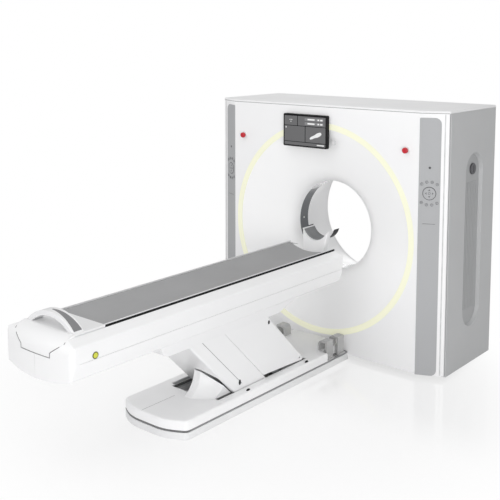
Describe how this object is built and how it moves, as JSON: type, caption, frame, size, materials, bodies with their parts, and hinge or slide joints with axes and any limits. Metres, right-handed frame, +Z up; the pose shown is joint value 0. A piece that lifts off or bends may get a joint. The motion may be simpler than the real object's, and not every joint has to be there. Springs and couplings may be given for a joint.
{
  "type": "computed tomography scanner",
  "caption": "Computed tomography scanner: ring gantry on the floor and a patient table on a parallelogram lift arm, with a sliding tabletop that runs into the bore.",
  "frame": {"origin": "centre of the footprint on the floor", "axes": "+Z up, +Y along the table from its foot end into the gantry, +X to the right of someone who looks along +Y"},
  "size_m": [2.11, 3.5, 1.95],
  "materials": {
    "cover_white": "satin moulded cover",
    "base_white": "powder coat",
    "strip_grey": "satin silver grey",
    "side_grey": "powder coat",
    "inner_grey": "primed steel",
    "cast_grey": "painted casting",
    "bare_steel": "machined",
    "bare_aluminium": "machined",
    "ring_light": "translucent diffuser",
    "screen_glass": "black glass",
    "screen_frame": "dark moulded frame",
    "window_dark": "dark window",
    "stop_red": "gloss red",
    "mat_grey": "vinyl",
    "pad_grey": "foam skin",
    "seal_black": "rubber",
    "key_green": "translucent key",
    "collar_dark": "dark collar",
    "belt_black": "toothed belt",
    "table_white": "satin moulded cover",
    "top_carbon": "coated composite"
  },
  "bodies": {
    "stand": {"front_cover": "cover_white", "light_ring": "ring_light", "control_strip_left": "strip_grey", "control_strip_right": "strip_grey", "display_housing": "screen_frame", "display_screen": "screen_glass", "side_cover_left": "side_grey", "side_cover_right": "side_grey", "side_grille_left": "strip_grey", "side_grille_right": "strip_grey", "top_cover": "cover_white", "rear_cover": "cover_white", "scan_window": "window_dark", "rear_tunnel": "cover_white", "stator_frame": "cast_grey", "floor_frame": "inner_grey", "levelling_feet": "bare_steel", "bearing_outer_race": "bare_steel", "drive_motor": "inner_grey", "drive_belt": "belt_black", "slip_ring_brushes": "inner_grey", "bore_funnel": "cover_white", "base_plate": "base_white", "base_groove_strip": "strip_grey", "base_cover": "base_white", "base_fairing": "cover_white", "anchor_brackets": "strip_grey", "pivot_stand": "inner_grey"},
    "rotor": {"rotor_drum": "bare_aluminium", "bearing_inner_race": "bare_steel", "xray_tube": "bare_aluminium", "detector_arc": "bare_aluminium", "generator_tank": "bare_aluminium", "counterweight": "cast_grey", "slip_ring": "bare_aluminium"},
    "belt_pulley": {"motor_pulley": "bare_aluminium"},
    "emergency_stop_left": {"stop_cap_left": "stop_red"},
    "emergency_stop_right": {"stop_cap_right": "stop_red"},
    "push_pad_left": {"dial_left": "strip_grey"},
    "push_pad_right": {"dial_right": "strip_grey"},
    "panel_lock_left": {"side_lock_left": "strip_grey"},
    "panel_lock_right": {"side_lock_right": "strip_grey"},
    "rear_arm": {"rear_arm_links": "inner_grey", "rear_arm_cover": "cover_white"},
    "front_arm": {"front_arm_links": "inner_grey", "front_arm_cover": "cover_white"},
    "table": {"table_shell": "table_white", "table_end_hood": "table_white", "table_frame": "inner_grey", "cradle_rails": "bare_steel", "button_collar": "collar_dark"},
    "lift_tube": {"actuator_tube": "inner_grey"},
    "lift_rod": {"actuator_rod": "bare_steel"},
    "tabletop": {"cradle": "top_carbon", "edge_seals": "seal_black", "mattress": "mat_grey", "handle": "top_carbon", "head_holder": "top_carbon", "head_pad": "pad_grey"},
    "release_key": {"release_button": "key_green"}
  },
  "joints": [
    {"name": "rotor_spin", "type": "hinge", "parent": "stand", "child": "rotor", "pos_m": [0, 1.4, 0.978], "axis": [0, 1, 0], "continuous": true},
    {"name": "pulley_spin", "type": "hinge", "parent": "stand", "child": "belt_pulley", "pos_m": [-0.86, 1.4, 0.205], "axis": [0, 1, 0], "continuous": true},
    {"name": "table_lift", "type": "hinge", "parent": "stand", "child": "rear_arm", "pos_m": [0, 0.18, 0.075], "axis": [-1, 0, 0], "range_deg": [-25, 5]},
    {"name": "table_level", "type": "hinge", "parent": "rear_arm", "child": "table", "pos_m": [0, -0.435, 0.69], "axis": [-1, 0, 0], "range_deg": [-5, 25]},
    {"name": "front_link_swing", "type": "hinge", "parent": "stand", "child": "front_arm", "pos_m": [0, -0.225, 0.075], "axis": [-1, 0, 0], "range_deg": [-25, 5]},
    {"name": "actuator_swing", "type": "hinge", "parent": "stand", "child": "lift_tube", "pos_m": [-0.09, -0.225, 0.075], "axis": [-1, 0, 0], "range_deg": [-34.2, 7]},
    {"name": "actuator_stroke", "type": "slide", "parent": "lift_tube", "child": "lift_rod", "axis": [0, -0.3231, 0.9463], "range_m": [-0.149, 0.031]},
    {"name": "tabletop_travel", "type": "slide", "parent": "table", "child": "tabletop", "axis": [0, 1, 0], "range_m": [0, 1.5]},
    {"name": "release_press", "type": "slide", "parent": "table", "child": "release_key", "axis": [-1, 0, 0], "range_m": [0, 0.004], "stiffness_N_per_m": 900, "springref_m": -0.001},
    {"name": "emergency_push_left", "type": "slide", "parent": "stand", "child": "emergency_stop_left", "axis": [0, 1, 0], "range_m": [0, 0.006]},
    {"name": "pad_press_left", "type": "slide", "parent": "stand", "child": "push_pad_left", "axis": [0.4067, 0.9135, 0], "range_m": [0, 0.0025], "stiffness_N_per_m": 900, "springref_m": -0.001},
    {"name": "lock_turn_left", "type": "hinge", "parent": "stand", "child": "panel_lock_left", "pos_m": [-1.029, 1.421, 1.496], "axis": [-1, 0, 0], "range_deg": [0, 90]},
    {"name": "emergency_push_right", "type": "slide", "parent": "stand", "child": "emergency_stop_right", "axis": [0, 1, 0], "range_m": [0, 0.006]},
    {"name": "pad_press_right", "type": "slide", "parent": "stand", "child": "push_pad_right", "axis": [-0.4067, 0.9135, 0], "range_m": [0, 0.0025], "stiffness_N_per_m": 900, "springref_m": -0.001},
    {"name": "lock_turn_right", "type": "hinge", "parent": "stand", "child": "panel_lock_right", "pos_m": [1.029, 1.421, 1.496], "axis": [1, 0, 0], "range_deg": [0, 90]}
  ],
  "couplings": [
    {"joint": "pulley_spin", "follows": "rotor_spin", "ratio": 11.514},
    {"joint": "table_level", "follows": "table_lift", "ratio": -1},
    {"joint": "front_link_swing", "follows": "table_lift", "ratio": 1},
    {"joint": "actuator_swing", "follows": "table_lift", "ratio": 1.36},
    {"joint": "actuator_stroke", "follows": "table_lift", "m_per_rad": 0.338}
  ]
}
